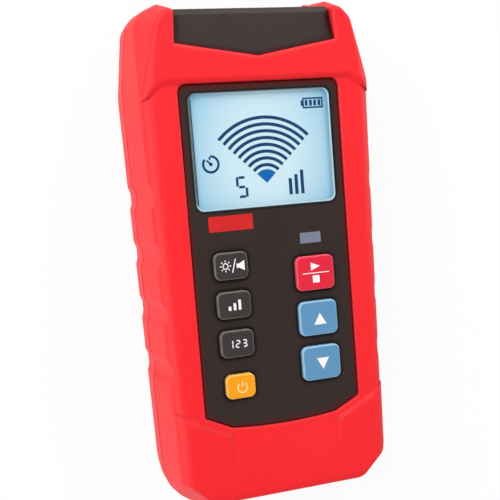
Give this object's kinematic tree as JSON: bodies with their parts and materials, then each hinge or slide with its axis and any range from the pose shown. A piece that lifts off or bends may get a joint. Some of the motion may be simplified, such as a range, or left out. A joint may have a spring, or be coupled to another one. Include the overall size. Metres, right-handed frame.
{
  "type": "cable locator transmitter",
  "caption": "Hand-held cable locator transmitter: a case in a soft jacket, with a display window, sprung keys, an indicator and jack sockets at its top end.",
  "frame": {"origin": "centre of the box's base: the back of the instrument, lying face up", "axes": "+Z out of the face, +Y towards the jack end, +X to the right as the face is read"},
  "size_m": [0.0908, 0.188, 0.0425],
  "materials": {
    "jacket_red": "satin soft-touch moulding",
    "case_black": "fine grained moulding",
    "cap_black": "matt moulding",
    "well_red": "gloss moulding",
    "well_black": "gloss moulding",
    "jack_brass": "turned",
    "window_clear": "polished clear sheet",
    "lcd_blue": "polarised glass",
    "light_white": "light guide",
    "frame_white": "moulded",
    "strip_grey": "layered elastomer",
    "key_grey": "soft-touch key",
    "key_red": "soft-touch key",
    "key_blue": "soft-touch key",
    "key_orange": "soft-touch key",
    "mat_grey": "moulded silicone",
    "lens_grey": "tinted light pipe",
    "lamp_clear": "moulded lamp",
    "board_green": "glass-fibre laminate",
    "screw_steel": "zinc plated",
    "chip_black": "moulded package",
    "core_dark": "ferrite",
    "coil_copper": "enamelled winding",
    "can_alu": "sleeved can",
    "fuse_glass": "glass tube",
    "clip_tin": "tinned spring strip",
    "battery_shell": "plain printed shell",
    "snap_nickel": "nickel plated",
    "lead_sleeve": "sleeved wire"
  },
  "bodies": {
    "housing": {"front_jacket": "jacket_red", "rear_jacket": "jacket_red", "front_case": "case_black", "rear_case": "case_black", "terminal_cap": "cap_black", "live_well": "well_red", "ground_well": "well_black", "live_jack": "jack_brass", "ground_jack": "jack_brass", "display_window": "window_clear", "lcd_glass": "lcd_blue", "backlight_plate": "light_white", "contact_strip": "strip_grey", "lcd_frame": "frame_white", "keypad_mat": "mat_grey", "indicator_lens": "lens_grey", "indicator_lamp": "lamp_clear", "main_board": "board_green", "board_screws": "screw_steel", "control_chip": "chip_black", "transformer_core": "core_dark", "transformer_winding": "coil_copper", "capacitors": "can_alu", "buzzer": "chip_black", "fuse": "fuse_glass", "fuse_clips": "clip_tin", "case_screws": "screw_steel", "battery_door": "case_black", "door_screw": "screw_steel", "battery": "battery_shell", "battery_snaps": "snap_nickel", "snap_contacts": "snap_nickel", "snap_plate": "chip_black", "battery_leads": "lead_sleeve"},
    "light_key": {"light_key": "key_grey"},
    "level_key": {"level_key": "key_grey"},
    "code_key": {"code_key": "key_grey"},
    "power_key": {"power_key": "key_orange"},
    "start_key": {"start_key": "key_red"},
    "up_key": {"up_key": "key_blue"},
    "down_key": {"down_key": "key_blue"}
  },
  "joints": [
    {"name": "light_key_press", "type": "slide", "parent": "housing", "child": "light_key", "axis": [0, 0, -1], "range_m": [0, 0.0011], "stiffness_N_per_m": 1200, "springref_m": -0.0004},
    {"name": "level_key_press", "type": "slide", "parent": "housing", "child": "level_key", "axis": [0, 0, -1], "range_m": [0, 0.0011], "stiffness_N_per_m": 1200, "springref_m": -0.0004},
    {"name": "code_key_press", "type": "slide", "parent": "housing", "child": "code_key", "axis": [0, 0, -1], "range_m": [0, 0.0011], "stiffness_N_per_m": 1200, "springref_m": -0.0004},
    {"name": "power_key_press", "type": "slide", "parent": "housing", "child": "power_key", "axis": [0, 0, -1], "range_m": [0, 0.0011], "stiffness_N_per_m": 1200, "springref_m": -0.0004},
    {"name": "start_key_press", "type": "slide", "parent": "housing", "child": "start_key", "axis": [0, 0, -1], "range_m": [0, 0.0011], "stiffness_N_per_m": 1200, "springref_m": -0.0004},
    {"name": "up_key_press", "type": "slide", "parent": "housing", "child": "up_key", "axis": [0, 0, -1], "range_m": [0, 0.0011], "stiffness_N_per_m": 1200, "springref_m": -0.0004},
    {"name": "down_key_press", "type": "slide", "parent": "housing", "child": "down_key", "axis": [0, 0, -1], "range_m": [0, 0.0011], "stiffness_N_per_m": 1200, "springref_m": -0.0004}
  ]
}
